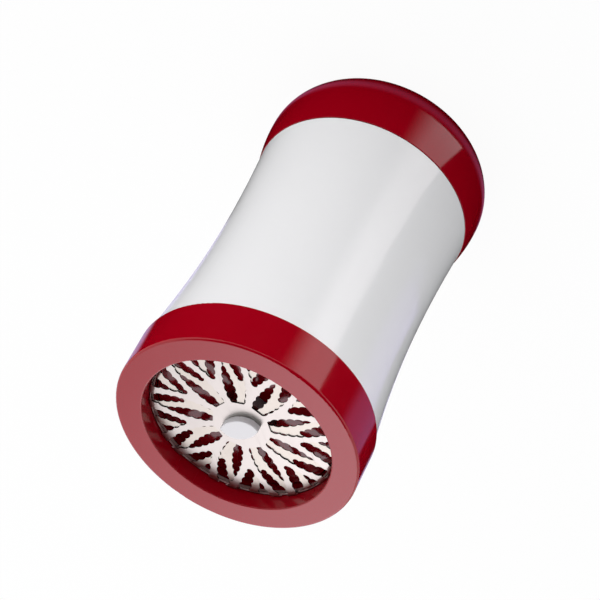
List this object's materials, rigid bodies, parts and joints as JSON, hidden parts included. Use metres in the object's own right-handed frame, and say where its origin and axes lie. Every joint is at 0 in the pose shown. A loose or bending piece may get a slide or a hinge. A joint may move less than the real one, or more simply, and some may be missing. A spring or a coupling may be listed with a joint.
{
  "type": "rotary herb mill",
  "caption": "Twist mill for fresh herbs: waisted white barrel, red cap and blade ring, scalloped steel rotary blades, hexagonal spindle, sprung plunger and removable cap unit.",
  "frame": {"origin": "middle of the cap's flat end, on which the mill stands", "axes": "+Z along the mill's axis towards the blades; +X through the stem of one arm of the outer blade"},
  "size_m": [0.075, 0.075, 0.1329],
  "materials": {
    "red_gloss": "polished moulding",
    "white_gloss": "polished moulding",
    "white_satin": "satin moulding",
    "slip_plastic": "low-friction sheet",
    "blade_steel": "mirror-polished stainless sheet",
    "rod_steel": "drawn stainless",
    "spring_steel": "bright spring steel",
    "soft_rubber": "matt silicone"
  },
  "bodies": {
    "barrel": {"barrel_shell": "white_gloss", "chamber": "red_gloss"},
    "blade_unit": {"blade_ring": "red_gloss", "outer_blade": "blade_steel", "blade_gasket": "soft_rubber"},
    "cutter": {"blade_hub": "white_satin", "inner_blade": "blade_steel", "disc_spring": "spring_steel", "thrust_washer": "spring_steel", "hub_clip": "spring_steel"},
    "collar_unit": {"collar": "white_satin", "collar_oring": "soft_rubber", "bearing_washer": "slip_plastic"},
    "cap": {"cap_shell": "red_gloss", "cap_core": "white_satin", "cap_screws": "rod_steel", "spindle": "rod_steel", "spindle_screw": "rod_steel", "plunger_stop": "spring_steel", "plunger_spring": "spring_steel"},
    "plunger_unit": {"plunger": "red_gloss", "plunger_wiper": "soft_rubber"}
  },
  "joints": [
    {"name": "ring_off", "type": "slide", "parent": "barrel", "child": "blade_unit", "axis": [0, 0, 1], "range_m": [0, 0.03]},
    {"name": "cutter_turn", "type": "hinge", "parent": "blade_unit", "child": "cutter", "pos_m": [0, 0, 0.1276], "axis": [0, 0, 1], "continuous": true},
    {"name": "cap_unit_out", "type": "slide", "parent": "barrel", "child": "collar_unit", "axis": [0, 0, -1], "range_m": [0, 0.1]},
    {"name": "cap_turn", "type": "hinge", "parent": "collar_unit", "child": "cap", "pos_m": [0, 0, 0.0235], "axis": [0, 0, 1], "continuous": true},
    {"name": "plunger_slide", "type": "slide", "parent": "cap", "child": "plunger_unit", "axis": [0, 0, -1], "range_m": [0, 0.084], "stiffness_N_per_m": 480, "springref_m": -0.018, "deforming": ["plunger_spring"]}
  ],
  "couplings": [
    {"joint": "cutter_turn", "follows": "cap_turn", "ratio": 1}
  ]
}
